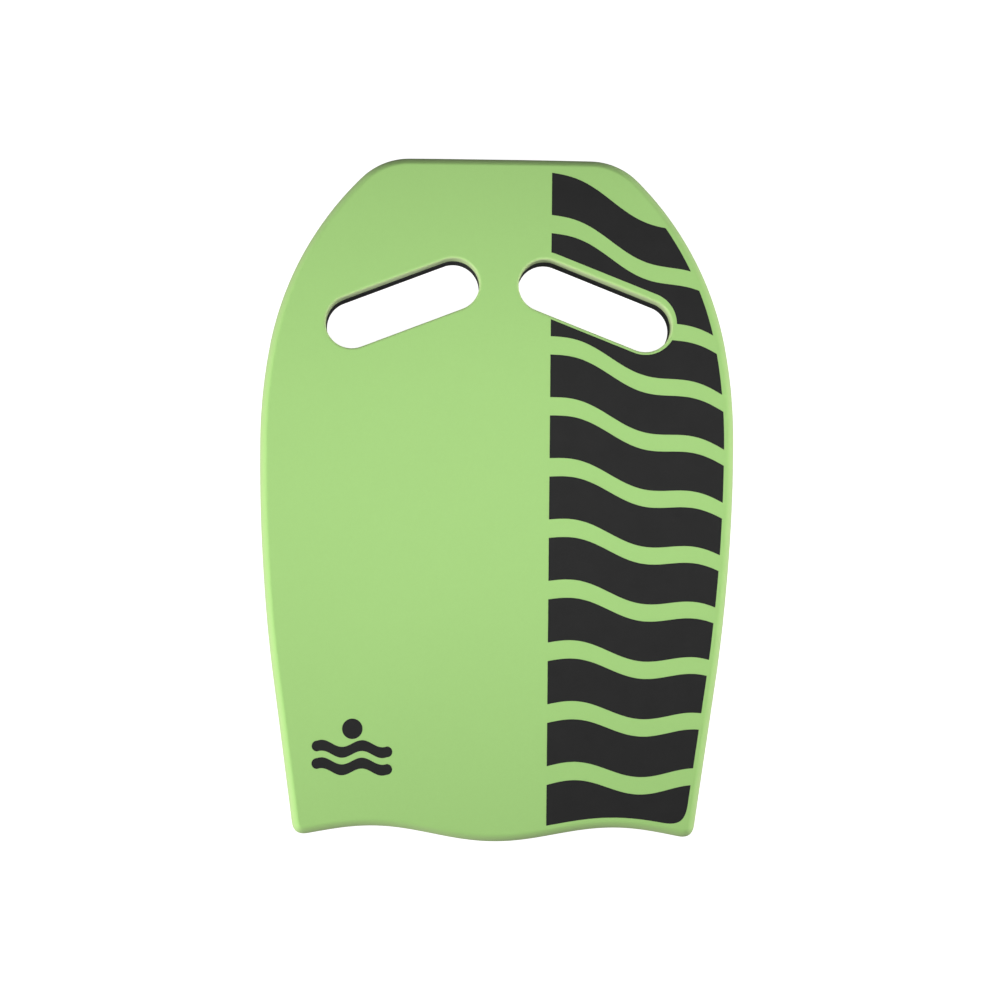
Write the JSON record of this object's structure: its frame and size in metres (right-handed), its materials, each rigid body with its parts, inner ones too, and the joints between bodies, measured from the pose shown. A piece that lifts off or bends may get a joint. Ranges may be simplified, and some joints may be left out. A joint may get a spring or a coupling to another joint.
{
  "type": "kickboard float",
  "caption": "Flat swimming kickboard of laminated closed-cell foam, with a blunt rounded nose, slanted grip slots, a wavy tail and a printed deck.",
  "frame": {"origin": "under the middle of the board's bounding box, on the plane that its back rests on", "axes": "+Z out of the printed deck, +Y toward the nose along the length, +X to the right seen from the deck"},
  "size_m": [0.2914, 0.42, 0.0326],
  "materials": {
    "green_foam": "matte light green closed-cell EVA foam, fine skived grain",
    "charcoal_foam": "matte charcoal closed-cell EVA foam, fine skived grain",
    "dark_ink": "dark grey screen-printed ink with a faint satin, following the foam's grain"
  },
  "bodies": {
    "root": {"back_sheet": "charcoal_foam", "core_sheet": "charcoal_foam", "front_sheet": "green_foam", "wave_bar_01": "dark_ink", "wave_bar_02": "dark_ink", "wave_bar_03": "dark_ink", "wave_bar_04": "dark_ink", "wave_bar_05": "dark_ink", "wave_bar_06": "dark_ink", "wave_bar_07": "dark_ink", "wave_bar_08": "dark_ink", "wave_bar_09": "dark_ink", "wave_bar_10": "dark_ink", "wave_bar_11": "dark_ink", "badge_disc": "dark_ink", "badge_ripple_1": "dark_ink", "badge_ripple_2": "dark_ink"}
  },
  "joints": []
}
